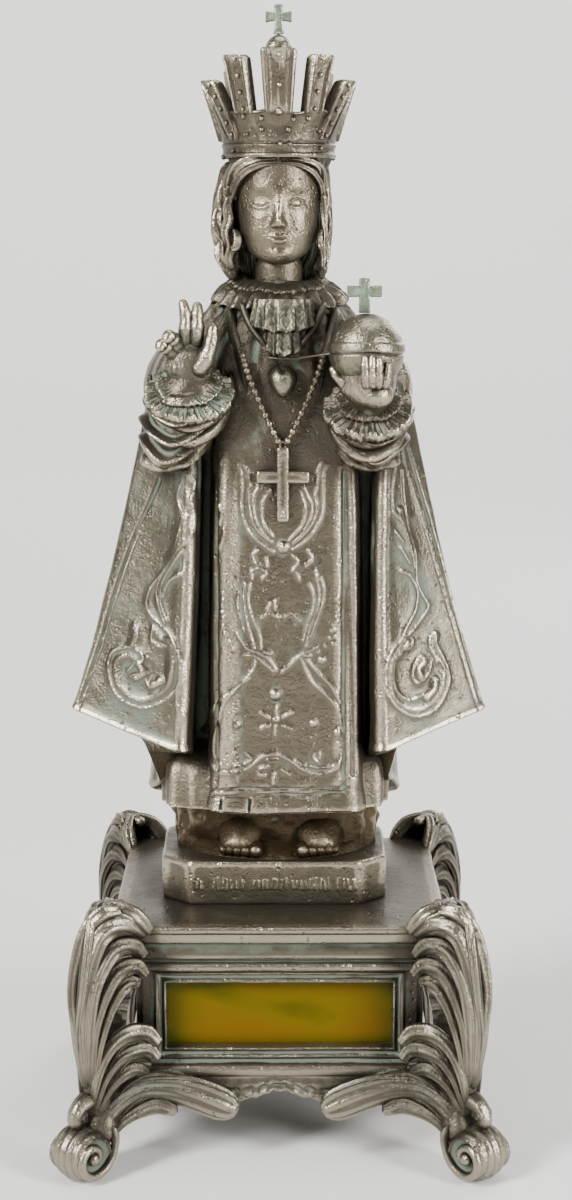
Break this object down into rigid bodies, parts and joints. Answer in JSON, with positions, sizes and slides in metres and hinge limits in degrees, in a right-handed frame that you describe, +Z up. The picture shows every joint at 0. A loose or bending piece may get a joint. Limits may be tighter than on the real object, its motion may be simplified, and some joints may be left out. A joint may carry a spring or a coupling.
{
  "type": "devotional statuette",
  "caption": "Crowned child figure holding an orb and blessing, in robe and open cloak, cast in patinated white metal on a square stand with scroll legs and yellow panels.",
  "frame": {"origin": "on the ground under the middle of the square stand", "axes": "+Z up, -Y the way the figure faces, +X to the figure's left hand, the one with the orb"},
  "size_m": [0.1274, 0.1274, 0.32],
  "materials": {
    "cast_metal": "cast white metal, worn satin silver on the high places, brown and grey-green patina in the hollows, fine casting pits",
    "greened_metal": "the same metal under a pale green bloom, matt",
    "panel_stone": "polished yellow-olive onyx or glass, clouded with green"
  },
  "bodies": {
    "root": {"stand": "cast_metal", "panel_front": "panel_stone", "panel_right": "panel_stone", "panel_back": "panel_stone", "panel_left": "panel_stone", "figure": "cast_metal", "blessing_hand": "cast_metal", "orb_hand": "cast_metal", "orb_cross": "greened_metal", "crown": "cast_metal", "crown_cross": "greened_metal"}
  },
  "joints": []
}
